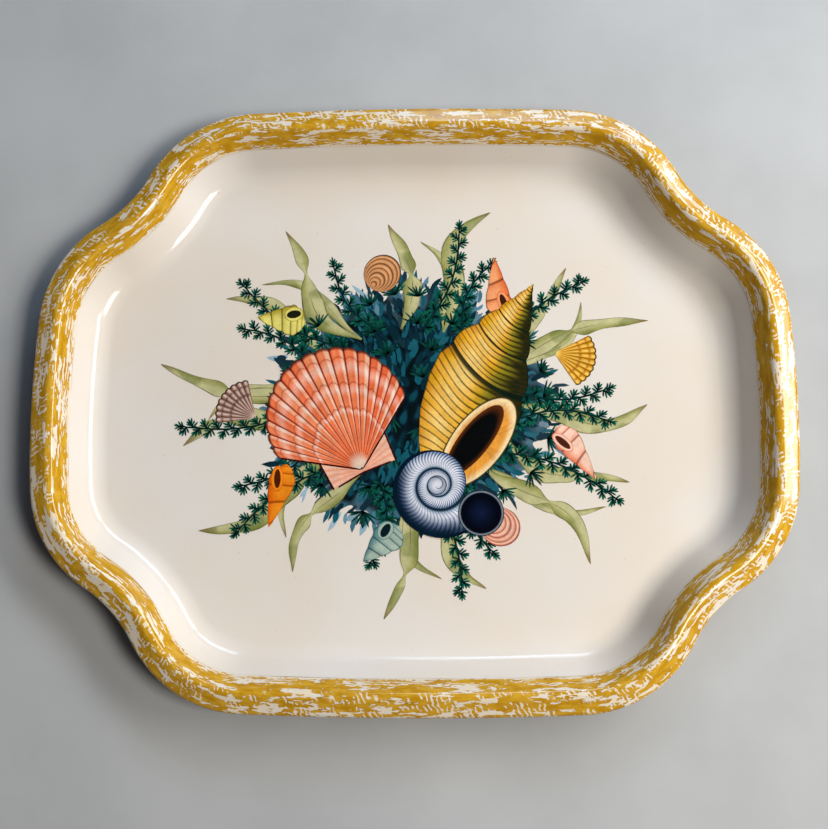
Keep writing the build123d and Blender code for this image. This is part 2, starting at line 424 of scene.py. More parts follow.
# Outline of one quarter, as in the CAD model: radius and turn of each arc, from the middle of
# the long edge to the middle of the short edge. A negative turn is clockwise. The two long
# edge arcs, first and last, take the radii that close the outline on the length and width.
QUARTER = ((None, -2.3), (66.0, -59.5), (72.0, 29.5), (66.0, -53.5), (None, -4.2))
WALL_ANGLE, FLANGE_ANGLE = 52.0, 20.0
FLANGE_LENGTH, CREST_RADIUS, COVE_RADIUS = 7.6, 4.0, 14.0
CURL_TURN = 285.0
WIRE_RADIUS, WIRE_CLEARANCE = 1.5, 0.1
CURL_RADIUS = WIRE_RADIUS + WIRE_CLEARANCE + SHEET / 2
BORDER_INSET = 18.8
# Spacing of the mesh round the outline, in mm, and the rings of the border print across it
PAN_SPACING, BORDER_SPACING, BORDER_RINGS = 2.2, 1.1, 46


def arc_step(heading, turn):
    """Step of a unit arc that starts at a heading, both in degrees."""
    side = math.copysign(90, turn)
    return unit(heading + turn - side) - unit(heading - side)


def quarter_arcs():
    """The five arcs of a quarter with every radius known."""
    heading, fixed, ends = 0.0, np.zeros(2), []
    for radius, turn in QUARTER:
        step = arc_step(heading, turn)
        if radius is None:
            ends.append(step)
        else:
            fixed += radius * step
        heading += turn
    target = np.array([LENGTH / 2, -WIDTH / 2]) - fixed
    long_radius, short_radius = np.linalg.solve(np.array(ends).T, target)
    radii = [long_radius] + [radius for radius, _ in QUARTER[1:-1]] + [short_radius]
    return [(radius, turn) for radius, (_, turn) in zip(radii, QUARTER)]


def outline(spacing):
    """Points and outward normals round the closed outline."""
    place, heading = np.array([0.0, WIDTH / 2]), 0.0
    points, headings = [], []
    for radius, turn in quarter_arcs():
        count = max(4, int(abs(math.radians(turn)) * radius / spacing))
        for step in range(count):
            part = turn * step / count
            points.append(place + radius * arc_step(heading, part) if step else place.copy())
            headings.append(heading + part)
        place = place + radius * arc_step(heading, turn)
        heading += turn
    points.append(place)
    headings.append(heading)
    points, outward = np.array(points), unit(np.array(headings) + 90)
    flip_y, flip_x = np.array([1, -1]), np.array([-1, 1])
    half = np.vstack([points, points[-2::-1] * flip_y])
    half_out = np.vstack([outward, outward[-2::-1] * flip_y])
    whole = np.vstack([half, half[-2:0:-1] * flip_x])
    whole_out = np.vstack([half_out, half_out[-2:0:-1] * flip_x])
    return whole, whole_out


def section():
    """Middle of the sheet across the rim, from floor to cut edge: insets and heights, headings."""
    crest_height = HEIGHT - SHEET / 2
    wall_sine = math.sin(math.radians(WALL_ANGLE))
    wall_lift = 1 - math.cos(math.radians(WALL_ANGLE))
    wall_length = (crest_height - SHEET / 2 - (CREST_RADIUS + COVE_RADIUS) * wall_lift) / wall_sine
    # radius or length of each stretch, its turn and its number of steps
    moves = (
        (COVE_RADIUS, WALL_ANGLE, 14),
        (wall_length, 0.0, 8),
        (CREST_RADIUS, -WALL_ANGLE - FLANGE_ANGLE, 14),
        (FLANGE_LENGTH, 0.0, 5),
        (CURL_RADIUS, -CURL_TURN, 28),
    )
    place, heading = np.array([0.0, SHEET / 2]), 0.0
    points, headings = [place.copy()], [0.0]
    for size, turn, count in moves:
        start = place.copy()
        for step in range(1, count + 1):
            part = step / count
            if turn:
                place = start + size * arc_step(heading, turn * part)
            else:
                place = start + size * part * unit(heading)
            points.append(place)
            headings.append(heading + turn * part)
        heading += turn
    points, headings = np.array(points), np.array(headings)
    bead_reach = points[:, 0].max() + SHEET / 2
    points[:, 0] = bead_reach - points[:, 0]
    return points, headings


def swept(path, outward, insets, heights):
    """Rings of points, one for each inset and height, shape (rings, points, 3), in metres."""
    flat = path[None] - outward[None] * np.asarray(insets)[:, None, None]
    heights = np.broadcast_to(np.asarray(heights)[:, None, None], (*flat.shape[:2], 1))
    metres = np.concatenate([flat, heights], 2) * MM
    metres[..., 2] += PAN_LOW.z
    return metres


def ring_faces(rings, count):
    """Quads between consecutive closed rings of count points, facing out of a rising sweep."""
    start = np.arange(count)
    after = (start + 1) % count
    faces = []
    for ring in range(rings - 1):
        low, high = ring * count, (ring + 1) * count
        faces.append(np.stack([low + start, low + after, high + after, high + start], -1))
    return np.vstack(faces)


def build_pan(materials):
    """The pan as one closed sheet: enamel above, lacquer below, a cut edge inside the curl."""
    path, outward = outline(PAN_SPACING)
    count = len(path)
    middle, headings = section()
    normal = unit(headings + 90)
    upper = middle + normal * [-SHEET / 2, SHEET / 2]
    lower = middle - normal * [-SHEET / 2, SHEET / 2]
    loop = np.vstack([upper, lower[::-1]])
    rings = swept(path, outward, loop[:, 0], loop[:, 1])
    faces = ring_faces(len(loop), count).tolist()
    first_ring = list(range(count))
    last_ring = [(len(loop) - 1) * count + index for index in first_ring]
    faces += [first_ring[::-1], last_ring]
    pan = new_piece("enamelled_pan", rings.reshape(-1, 3), faces, materials[0])
    for extra in materials[1:]:
        pan.data.materials.append(extra)
    upper_faces = (len(upper) - 1) * count
    # enamel above, then the cut edge; the last two faces are the floor and its underside
    slots = np.ones(len(faces), np.int32)
    slots[:upper_faces] = 0
    slots[upper_faces:upper_faces + count] = 2
    slots[-2] = 0
    pan.data.polygons.foreach_set("material_index", slots)
    pan.data.shade_smooth()
    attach(pan, "root")
    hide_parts("tray_pan")


def build_border(material):
    """The gold print as a film over the wall, crest, flange and the outside of the curl."""
    path, outward = outline(BORDER_SPACING)
    middle, headings = section()
    normal = unit(headings + 90)
    offset = SHEET / 2 + LAYER_STEP
    face = middle + normal * [-offset, offset]
    reach = np.r_[0, np.cumsum(np.linalg.norm(np.diff(face, axis=0), axis=1))]
    start = np.interp(-BORDER_INSET, -face[:, 0], reach)
    lowest = np.argmin(np.where(headings < -FLANGE_ANGLE - 1, face[:, 1], np.inf))
    places = np.linspace(start, reach[lowest], BORDER_RINGS)
    insets = np.interp(places, reach, face[:, 0])
    heights = np.interp(places, reach, face[:, 1])
    rings = swept(path, outward, insets, heights)
    faces = ring_faces(len(places), len(path))
    border = new_piece("border_print", rings.reshape(-1, 3), faces, material)
    border.data.shade_smooth()
    steps = np.linalg.norm(np.diff(np.vstack([path, path[:1]]), axis=0), axis=1)
    round_rim = 2 * math.pi * np.r_[0, np.cumsum(steps)[:-1]] / steps.sum()
    rim = np.zeros((len(places), len(path), 3), np.float32)
    rim[..., 0] = np.cos(round_rim)
    rim[..., 1] = np.sin(round_rim)
    rim[..., 2] = (places - start)[:, None]
    attribute = border.data.attributes.new("rim", "FLOAT_VECTOR", "POINT")
    attribute.data.foreach_set("vector", rim.ravel())
    thicken(border, INK * MM)
    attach(border, "root")


# ---- layout of the picture

# As in the CAD model: half lengths and half widths of the ovals that lay the picture out
TIP_REACH, ROOT_REACH = np.array([138.0, 112.0]), np.array([54.0, 42.0])
SMALL_SHELL_REACH, WASH_REACH = np.array([92.0, 74.0]), np.array([80.0, 68.0])
WEED_COUNT = 15


def on_oval(reach, angle, share=1.0):
    """Point of an oval about the middle of the floor, at an angle from +X."""
    return unit(angle) * reach * share


def from_place(origin, heading, forward, left=0.0):
    """Points forward and to the left of an origin, as seen facing the heading."""
    forward, left = np.broadcast_arrays(forward, left)
    ahead, aside = unit(heading), unit(heading + 90)
    return np.asarray(origin) + forward[..., None] * ahead + left[..., None] * aside


def bowed(base, tip, bow, sway=0.0):
    """A curve from base to tip, bowed to its left, that sways to both sides."""
    share = np.linspace(0, 1, 7)
    reach = np.linalg.norm(tip - base)
    heading = np.degrees(np.arctan2(*(tip - base)[::-1]))
    left = bow * np.sin(math.pi * share) + sway * np.sin(2 * math.pi * share)
    return from_place(base, heading, reach * share, left)


# ---- weed

LEAF_PALE, LEAF_MID = srgb(196, 192, 142), srgb(166, 164, 100)
LEAF_DEEP, LEAF_EDGE, LEAF_TIP = srgb(104, 120, 48), srgb(92, 82, 40), srgb(132, 112, 70)
LEAF_ACROSS = np.array([-1, -0.93, -0.86, -0.55, -0.25, -0.07, 0, 0.07, 0.25, 0.55, 0.86, 0.93, 1])


def leaf(film, points, width, seed, twist=None, lift=0):
    """A ribbon leaf from base to tip, wavy at its edges, narrowed where it twists over."""
    random = np.random.default_rng(seed)
    rows = 90
    curve = along(points, rows)
    s = np.linspace(0, 1, rows)
    fullness = (0.08 + 0.92 * smooth(0, 0.4, s)) * (1 - s ** 2.4) ** 0.9 + 0.03
    facing = np.ones(rows)
    if twist is not None:
        fullness *= 1 - 0.8 * np.exp(-((s - twist) / 0.06) ** 2)
        facing = np.where(s > twist, -1.0, 1.0)
    waves = [1 + 0.16 * np.sin(2 * math.pi * (random.uniform(2, 3.4) * s + random.random()))
             for _ in range(2)]
    half = np.where(LEAF_ACROSS < 0, waves[0][:, None], waves[1][:, None])
    reach = half * (width / 2 * fullness)[:, None] * LEAF_ACROSS
    grid = curve[:, None] + normals_of(curve)[:, None] * reach[..., None]
    t, down = LEAF_ACROSS * facing[:, None], s[:, None]
    x, y = grid[..., 0], grid[..., 1]
    begin, finish = random.uniform(0.12, 0.3), random.uniform(0.5, 0.78)
    vein = bump(0, 0.13, LEAF_ACROSS) * smooth(begin, begin + 0.08, down)
    edge = smooth(0.88, 0.94, np.abs(LEAF_ACROSS)) * (0.45 + 0.5 * cloud(x, y, 9, seed + 3))
    colour = layered(
        LEAF_PALE,
        (LEAF_MID, smooth(-0.4, 0.8, t)),
        (LEAF_DEEP, 0.75 * smooth(0.2, 0.9, t) * cloud(x, y, 14, seed)),
        (LEAF_DEEP, 0.55 * smooth(0.22, 0.0, down)),
        (LEAF_DEEP, 0.5 * smooth(0.62, 0.8, cloud(x, y, 22, seed + 7))),
        (LEAF_EDGE, 0.85 * vein * smooth(finish, finish - 0.15, down)),
        (LEAF_TIP, smooth(0.86, 1.0, down)),
        (LEAF_EDGE, edge),
    )
    film.patch(grid, colour, lift)


LEAF_WIDTH, SLIM_LEAF_WIDTH, LEAF_BOW = 9.5, 6.5, 9.0


def ribbon_weed(film):
    """Ribbon leaves all round, bowed to alternate sides, some twisted, with slim ones between."""
    random = np.random.default_rng(5)
    for index in range(WEED_COUNT):
        angle = 360 * index / WEED_COUNT
        share = 1.0 if index % 2 else 0.9
        bow = LEAF_BOW if index % 2 else -LEAF_BOW
        base, tip = on_oval(ROOT_REACH, angle), on_oval(TIP_REACH, angle, share)
        points = bowed(base, tip, bow, random.uniform(-6, 6))
        twist = (None, 0.5, 0.66)[index % 3]
        leaf(film, points, LEAF_WIDTH * random.uniform(1.0, 1.3), 100 + index, twist, index * 0.02)
        if index % 2:
            slim_tip = on_oval(TIP_REACH, angle + random.uniform(13, 17), random.uniform(0.78, 0.9))
            points = bowed(base, slim_tip, -bow, 3)
            leaf(film, points, SLIM_LEAF_WIDTH, 130 + index, None, index * 0.02 - 0.4)


FERN_DARK, FERN_MID, FERN_LIGHT = srgb(4, 44, 42), srgb(6, 68, 58), srgb(18, 104, 82)
NEEDLE_ALONG = np.array([0.0, 0.3, 0.6, 0.85, 1.0])
NEEDLE_WIDTH = np.array([0.5, 0.85, 1.0, 0.75, 0.12])
# Twig, needle and needle width of a tuft as shares of its size, and tufts in a tuft's size of stem
TWIG_SHARE, NEEDLE_SHARE, NEEDLE_BREADTH, TUFT_CROWDING = 0.4, 0.58, 0.165, 1.72
# Needles of a tuft: where each leaves the twig, and its turn from the twig's own direction
NEEDLES = ((0.1, 66), (0.1, -66), (0.5, 50), (0.5, -50), (0.85, 27), (0.85, -27), (1.0, 0))


def needle(film, base, direction, length, width, colour, lift):
    """One needle, a narrow blunt blade, darker at its root."""
    side = unit(direction + 90) * width / 2
    spine = np.asarray(base) + unit(direction) * (NEEDLE_ALONG * length)[:, None]
    half = NEEDLE_WIDTH[:, None] * side
    grid = np.stack([spine - half, spine, spine + half], 1)
    tones = mix(FERN_DARK, colour, smooth(0.0, 0.7, NEEDLE_ALONG))
    film.patch(grid, np.repeat(tones[:, None], 3, 1), lift)


def tuft(film, base, direction, size, random, lift):
    """A short twig with blunt needles spread from it like fingers."""
    way = unit(direction)
    twig = size * TWIG_SHARE
    film.stroke([base, base + way * twig], 1.1, FERN_DARK, lift, 1, 0.9, 4)
    for share, turn in NEEDLES:
        length = size * NEEDLE_SHARE * random.uniform(0.85, 1.12)
        colour = mix(FERN_MID, FERN_LIGHT, random.uniform(0, 1))
        lean = direction + turn + random.uniform(-7, 7)
        root = base + way * twig * share
        needle(film, root, lean, length, NEEDLE_BREADTH * size, colour, lift)


def fern(film, points, size, seed, lift=0):
    """A fern sprig: a stem with tufts to alternate sides, smaller to the tip."""
    random = np.random.default_rng(seed)
    rows = 80
    curve = along(points, rows)
    length = np.linalg.norm(np.diff(curve, axis=0), axis=1).sum()
    film.stroke(points, 1.0, FERN_DARK, lift + 0.4, 1, 0.5)
    tufts = max(3, round(length / size * TUFT_CROWDING))
    for index in range(tufts):
        share = (index + 0.4) / tufts
        at = int(share * (rows - 2))
        heading = np.degrees(np.arctan2(*(curve[at + 1] - curve[at])[::-1]))
        side = 1 if index % 2 else -1
        direction = heading + side * random.uniform(46, 64)
        tuft(film, curve[at], direction, size * (1.2 - 0.24 * share), random, lift)
    heading = np.degrees(np.arctan2(*(curve[-1] - curve[-4])[::-1]))
    tuft(film, curve[-3], heading, size * 0.9, random, lift)


SPRIG_BOW, SPRIG_SHARE, TUFT_SIZE = 6.0, 0.9, 6.3
# Sprays low round the shells: the count of a full ring, and the shares of the wash they stand at
FERN_HEAD_COUNT, FERN_HEAD_RINGS = 24, (0.9, 0.66, 0.42, 0.2)


def fern_weed(film):
    """Fern sprigs between the leaves, and short dark sprays low round the shells."""
    random = np.random.default_rng(9)
    for index in range(WEED_COUNT):
        angle = 360 * (index + 0.5) / WEED_COUNT
        share = SPRIG_SHARE if index % 2 else SPRIG_SHARE - 0.14
        bow = SPRIG_BOW if index % 3 else -SPRIG_BOW
        points = bowed(on_oval(ROOT_REACH, angle), on_oval(TIP_REACH, angle + bow, share), bow)
        fern(film, points, TUFT_SIZE, 300 + index, index * 0.02)
    for ring in FERN_HEAD_RINGS:
        count = round(FERN_HEAD_COUNT * ring)
        for angle in np.arange(count) * 360 / count:
            aside, out = random.uniform(-6, 6), random.uniform(-0.06, 0.05)
            place = on_oval(WASH_REACH, angle + aside, ring + out)
            heading, size = angle + random.uniform(-25, 25), random.uniform(7, 10)
            fern_head(film, place, heading, size, random, 0.3 - 0.3 * ring)


def fern_head(film, place, direction, size, random, lift):
    """A spray of long dark needles from one point."""
    for turn in np.linspace(-72, 72, 9):
        length = size * random.uniform(0.75, 1.05)
        colour = mix(FERN_DARK, FERN_LIGHT, random.uniform(0, 0.6))
        needle(film, place, direction + turn + random.uniform(-6, 6), length, 1.05, colour, lift)


# ---- shells

# As in the CAD model: the scallop's hinge, the heading of its ribs and its round edge
SCALLOP_HINGE, SCALLOP_HEADING = np.array([-26.0, -34.0]), 116.0
SCALLOP_RADIUS, SCALLOP_OFFSET, SCALLOP_SPREAD = 37.0, 31.0, 56.0
EAR_WIDTH = 18.0
SCALLOP_RIBS = 17
# Growth bands: share of the way to the edge, and width
SCALLOP_BANDS = ((0.46, 0.03), (0.64, 0.055), (0.82, 0.075))


def scallop_reach(turn):
    """Length of a rib, from the hinge to the round edge, turned from the middle rib."""
    turn = np.radians(turn)
    aside = SCALLOP_OFFSET * np.sin(turn)
    return SCALLOP_OFFSET * np.cos(turn) + np.sqrt(SCALLOP_RADIUS ** 2 - aside ** 2)


def scallop(film):
    """A coral scallop seen square on, its ribs fanning evenly from the hinge."""
    ribs, per_rib = SCALLOP_RIBS, 20
    random = np.random.default_rng(11)
    q = np.linspace(0, ribs, ribs * per_rib + 1)
    turn = SCALLOP_SPREAD * (2 * q / ribs - 1)
    reach = scallop_reach(turn) + 1.4 * np.abs(np.sin(math.pi * q)) ** 0.6
    rim = SCALLOP_HINGE + unit(SCALLOP_HEADING - turn) * reach[:, None]
    share = np.r_[np.linspace(0.02, 0.97, 120), 0.985, 1.0]
    grid = SCALLOP_HINGE + (rim - SCALLOP_HINGE)[:, None] * share[None, :, None]
    r = share[None]
    rib = np.minimum(q.astype(int), ribs - 1)
    tone = random.uniform(0, 1, ribs)[rib][:, None]
    split_at = random.uniform(0.5, 0.7, ribs)[rib][:, None]
    f, q = (q % 1)[:, None], q[:, None]
    coral, light, pale = srgb(240, 108, 62), srgb(247, 146, 100), srgb(252, 200, 168)
    hot, line, white = srgb(228, 70, 20), srgb(140, 20, 10), srgb(255, 230, 214)
    streak = smooth(split_at, split_at + 0.08, f)
    glow = smooth(ribs * 0.55, ribs, q) * (1 - streak) * smooth(0.1, 0.4, r)
    colour = layered(
        coral,
        (light, np.clip(0.7 * tone + 0.4 * bump(0.3, 0.5, f), 0, 1)),
        (pale, streak * (0.5 + 0.4 * tone) * smooth(0.12, 0.5, r)),
        (hot, 0.55 * glow),
    )
    for place, width in SCALLOP_BANDS:
        middle = place + 0.02 * np.sin(math.pi * f) ** 0.7 + 0.008 * np.sin(1.7 * q + 9 * place)
        colour = layered(
            colour,
            (white, bump(middle, width * 2, r) * (0.35 + 0.5 * streak)),
            (srgb(168, 58, 28), 0.7 * bump(middle + width, 0.02, r)),
        )
    width = 0.085 + 0.06 * smooth(0.5, 0.1, r)
    rib_line = at_ends((width, width * 0.5), (1 - width, 1 - width * 0.5), f)
    colour = layered(
        colour,
        (line, 0.97 * rib_line * smooth(0.06, 0.16, r)),
        (srgb(236, 206, 184), smooth(0.16, 0.06, r)),
        (srgb(84, 16, 12), smooth(0.978, 0.988, r)),
    )
    film.patch(grid, colour, 1)
    scallop_ears(film, grid[[-1, 0], ::20])


def scallop_ears(film, side_ribs):
    """The two striped ears beside the hinge, each outlined together with its side rib."""
    pale, deep, dark = srgb(250, 206, 180), srgb(234, 116, 74), srgb(60, 14, 12)
    s = np.linspace(0, 1, 60)
    t = np.linspace(0, 1, 16)[:, None]
    width = EAR_WIDTH + 1
    rise = width / math.tan(math.radians(SCALLOP_SPREAD))
    for side, side_rib in zip((-1, 1), side_ribs):
        back = from_place(SCALLOP_HINGE, SCALLOP_HEADING, -1.5 - 1.5 * s, side * EAR_WIDTH * s)
        front = from_place(SCALLOP_HINGE, SCALLOP_HEADING, rise * s, side * width * s)
        stripes = bump(0.5, 0.6, (t * 4 + 0.6 * s[None]) % 1)
        tone = np.clip(0.4 + 0.5 * stripes - 0.3 * s[None], 0, 1)
        film.patch(between(back, front, t[:, 0]), mix(pale, deep, tone))
        film.stroke(back[::10], 0.9, dark, 1.5, 1, 1)
        film.stroke([back[-1], front[-1]], 0.9, dark, 1.5, 1, 1)
        film.stroke(side_rib, 0.9, dark, 1.8, 0.6, 1)


# As in the CAD model: the round spiral shell and its mouth
SPIRAL_CENTRE, SPIRAL_RADIUS = np.array([16.0, -48.0]), 26.0
MOUTH_HEADING, MOUTH_OFFSET, MOUTH_RADIUS = -24.0, 22.0, 12.0
# Turns of the coil, its growth in one turn, and the ribs of one turn
SPIRAL_TURNS, SPIRAL_GROWTH, SPIRAL_RIBS = 2.5, 2.15, 58


def spiral_shell(film):
    """A round ribbed shell coiled to its middle, pale over slate blue, its mouth lower right."""
    growth, mouth_angle = SPIRAL_GROWTH, MOUTH_HEADING
    widest = 2 * SPIRAL_RADIUS / (1 + growth ** -0.5)
    ahead = widest * (1 - growth ** -0.5) / 2
    aside = widest * (growth ** -0.25 - growth ** -0.75) / 2
    centre = from_place(SPIRAL_CENTRE, mouth_angle, -ahead, aside)
    rate = math.log(growth) / 360
    theta = np.linspace(mouth_angle - 360 * SPIRAL_TURNS, mouth_angle, 1300)
    w = np.r_[0, 0.02, 0.05, np.linspace(0.08, 0.94, 28), 0.97, 1.0][None]
    outer = widest * np.exp(rate * (theta - mouth_angle))
    bend = theta[:, None] - 11 * np.sin(math.pi * w)
    radius = outer[:, None] * growth ** (w - 1)
    grid = centre + unit(theta)[:, None] * radius[..., None]
    rib = (bend * SPIRAL_RIBS / 360) % 1
    age = (mouth_angle - theta[:, None]) / 360
    white, blue, navy = srgb(226, 228, 240), srgb(58, 98, 138), srgb(4, 26, 44)
    profile = np.abs(2 * rib - 1)
    gap = 0.34 + 0.5 * smooth(0.55, 0.97, w)
    depth = 0.7 + 0.28 * smooth(0.4, 0.8, w)
    low_side = smooth(-0.25, 0.75, -np.sin(np.radians(theta + 38)))[:, None] * (age < 1)
    seam = at_ends((0.17, 0.09), (0.945, 0.98), w)
    colour = layered(
        white,
        (blue, depth * smooth(1 - gap, 1 - 0.55 * gap, profile)),
        (srgb(82, 136, 168), 0.8 * smooth(0.34, 0.08, w)),
        (srgb(28, 76, 124), 0.6 * smooth(0.74, 0.97, w)),
        (srgb(14, 62, 112), 0.75 * low_side * smooth(0.3, 0.72, w)),
        (navy, 0.97 * low_side * smooth(0.55, 0.9, w)),
        (navy, 0.96 * seam),
    )
    film.patch(grid, colour, 1)

    def bud(share, angle):
        """The first whorl, a pale bead with one dark curl."""
        colour = mix(white, blue, 0.6 * smooth(0.2, 0.9, share))
        curl = bump(0.5, 0.22, (share - angle / 360) % 1) * smooth(0.1, 0.4, share)
        return mix(colour, navy, np.maximum(0.8 * curl, smooth(0.86, 0.95, share)))

    bud_radius = 1.12 * widest * growth ** -SPIRAL_TURNS
    oval(film, centre, mouth_angle, bud_radius, bud_radius, bud, 1.5)
    mouth = from_place(SPIRAL_CENTRE, mouth_angle, MOUTH_OFFSET)
    shares = np.array([0.002, 0.4, 0.7, 0.86, 0.875, 0.895, 0.95, 0.97, 1.0])
    ring = np.linspace(0, 360, 90)
    disc = mouth + unit(ring)[None] * (shares * MOUTH_RADIUS)[:, None, None]
    tones = mix(srgb(16, 28, 60), srgb(3, 6, 18), smooth(0.1, 0.6, shares))
    tones = mix(tones, srgb(206, 222, 240), bump(0.925, 0.085, shares))
    tones = mix(tones, navy, smooth(0.955, 0.975, shares))
    film.patch(disc, np.repeat(tones[:, None], 90, 1), 2)
    rim = np.linspace(mouth_angle - 260, mouth_angle, 14)
    edge = centre + unit(rim) * (widest * np.exp(rate * (rim - mouth_angle)) - 0.4)[:, None]
    film.stroke(edge, 2.0, navy, 1.8, 0.2, 0.1, 90)


# As in the CAD model: the whelk's foot, the heading of its spire, and its lengths from the foot
WHELK_FOOT, WHELK_HEADING = np.array([10.0, -38.0]), 62.0
WHELK_LENGTH, WHELK_SHOULDER, WHELK_HALF_WIDTH, FOOT_HALF_WIDTH = 118.0, 56.0, 27.0, 5.0
WHELK_GOLD, WHELK_AMBER, WHELK_STRAW = srgb(236, 174, 22), srgb(240, 176, 66), srgb(250, 212, 126)
WHELK_BROWN, WHELK_OLIVE = srgb(170, 92, 8), srgb(110, 122, 30)
WHELK_SHADOW, WHELK_LINE = srgb(8, 28, 18), srgb(48, 38, 8)
LIP_HALF_SIZE, INSIDE_HALF_SIZE, MOUTH_LEAN = (29.0, 14.0), (23.0, 8.0), 10.0
# The spire's first whorl, from a little above the shoulder, and how much each one after shrinks
SPIRE_START, FIRST_WHORL, WHORL_SHRINK = WHELK_SHOULDER + 9, 17.0, 0.78
BODY_RIBS, SPIRE_RIBS = 16, 7


def whelk_half(forward):
    """Half width of the whelk at a length from its foot."""
    stations = np.array([0, 0.25, 0.5, 0.78, 1.0]) * WHELK_SHOULDER
    halves = np.array([FOOT_HALF_WIDTH, 15.0, 22.5, 26.5, WHELK_HALF_WIDTH])
    spire = WHELK_HALF_WIDTH * (WHELK_LENGTH - forward) / (WHELK_LENGTH - WHELK_SHOULDER)
    body = np.interp(forward, stations, halves)
    return np.where(forward < WHELK_SHOULDER, body, np.maximum(spire, 0.4))


def whorl(film, low, high, ribs, lift):
    """One whorl between two lengths from the foot, ribbed along its seams, lit from the left."""
    s = np.linspace(0, 1, 30 * ribs // 2)[:, None]
    t = np.linspace(-1, 1, 60)[None]
    forward = low + (high - low) * s
    swell = 1 + 0.13 * np.sin(math.pi * s) ** 0.8 * (low > WHELK_SHOULDER)
    half = whelk_half(forward) * swell
    seam_share = smooth(0, WHELK_SHOULDER, forward)
    slant = (-0.2 * t - 0.26 * (1 - t ** 2)) * half * seam_share
    grid = from_place(WHELK_FOOT, WHELK_HEADING, forward + slant, -half * t)
    x, y = grid[..., 0], grid[..., 1]
    rib = s * ribs + 0.12 * np.sin(5 * t + 3 * s)
    f = rib % 1
    tones = np.random.default_rng(ribs).uniform(0, 1, ribs + 2)
    tone = tones[np.clip(rib, 0, ribs).astype(int)]
    across = (t + 1) / 2
    width = 0.26 + 0.34 * smooth(0.3, 0.9, across)
    seam = at_ends((0.05, 0.02), (0.955, 0.98), s)
    colour = layered(
        WHELK_GOLD,
        (WHELK_AMBER, cloud(x * 0.6, y, 13, 3)),
        (WHELK_STRAW, 0.95 * bump(0.3, 0.5, across) * np.clip(0.3 + tone, 0, 1)),
        (WHELK_BROWN, 0.65 * smooth(0.14, 0.0, across) * (0.4 + 0.6 * tone)),
        (WHELK_OLIVE, 0.8 * smooth(0.5, 0.72, across + 0.08 * tone)),
        (WHELK_SHADOW, 0.97 * smooth(0.66, 0.97, across + 0.14 * tone)),
        (WHELK_LINE, smooth(width, width * 0.5, f) * (0.72 + 0.25 * across)),
        (WHELK_SHADOW, 0.95 * seam),
        (WHELK_SHADOW, smooth(0.965, 0.985, np.abs(t))),
    )
    film.patch(grid, colour, lift)


def whelk(film):
    """A golden whelk, spire up, its round whorls shrinking to the tip, its mouth in front."""
    low, reach, index = SPIRE_START, FIRST_WHORL, 0
    whorl(film, 0, low, BODY_RIBS, 0.5)
    while low < WHELK_LENGTH - 1:
        high = min(low + reach, WHELK_LENGTH)
        whorl(film, low, high, max(3, SPIRE_RIBS - index), 0.4 - 0.1 * index)
        low, reach, index = high, reach * WHORL_SHRINK, index + 1

    # the mouth, a long oval with a flared lip, on the right of the last whorl
    mouth_heading = WHELK_HEADING - MOUTH_LEAN
    lip = from_place(WHELK_FOOT, WHELK_HEADING, WHELK_SHOULDER * 0.5, -WHELK_HALF_WIDTH * 0.5)
    inside = from_place(WHELK_FOOT, WHELK_HEADING, WHELK_SHOULDER * 0.5, -WHELK_HALF_WIDTH * 0.42)

    def lip_colour(share, angle):
        glow = mix(srgb(236, 160, 60), srgb(252, 224, 170), smooth(0.7, 0.92, share))
        ridges = bump(0.5, 0.5, (angle / 9) % 1) * smooth(0.95, 0.8, share)
        ridged = mix(glow, srgb(196, 112, 40), 0.4 * ridges)
        return mix(ridged, WHELK_LINE, smooth(0.94, 0.97, share))

    def inside_colour(share, angle):
        dark = srgb(6, 8, 8)
        depth = mix(dark, srgb(90, 44, 16), smooth(0.7, 1.0, share))
        return mix(depth, dark, 0.7 * bump(180, 200, angle % 360))

    oval(film, lip, mouth_heading, *LIP_HALF_SIZE, lip_colour, 1.5)
    oval(film, inside, mouth_heading, *INSIDE_HALF_SIZE, inside_colour, 2.5)


FAN_RIBS, FAN_SPREAD = 9, 84.0


def fan_shell(film, hinge, heading, radius, colours):
    """A small ribbed fan: colours are the rib, its light side, the lines and the bands."""
    rib_colour, light, line, band = colours
    q = np.linspace(0, FAN_RIBS, FAN_RIBS * 10 + 1)[:, None]
    share = np.linspace(0.05, 1, 40)[None]
    f = q % 1
    angles = np.linspace(-FAN_SPREAD / 2, FAN_SPREAD / 2, q.size)
    edge = radius * (0.8 + 0.2 * np.cos(np.radians(angles * 1.1)))[:, None]
    edge = edge + 0.03 * radius * np.abs(np.sin(math.pi * f))
    flat = unit(angles)[:, None] * (edge * share)[..., None]
    bands = bump(0.62, 0.12, share) + bump(0.84, 0.1, share)
    colour = layered(
        rib_colour,
        (light, bump(0.45, 0.7, f) * (0.5 + 0.5 * share)),
        (band, 0.85 * bands * (f > 0.3)),
        (line, 0.9 * at_ends((0.16, 0.04), (0.88, 0.98), f)),
        (light, 0.8 * smooth(0.22, 0.05, share)),
        (line, smooth(0.95, 0.98, share)),
    )
    film.patch(from_place(hinge, heading, flat[..., 0], flat[..., 1]), colour)


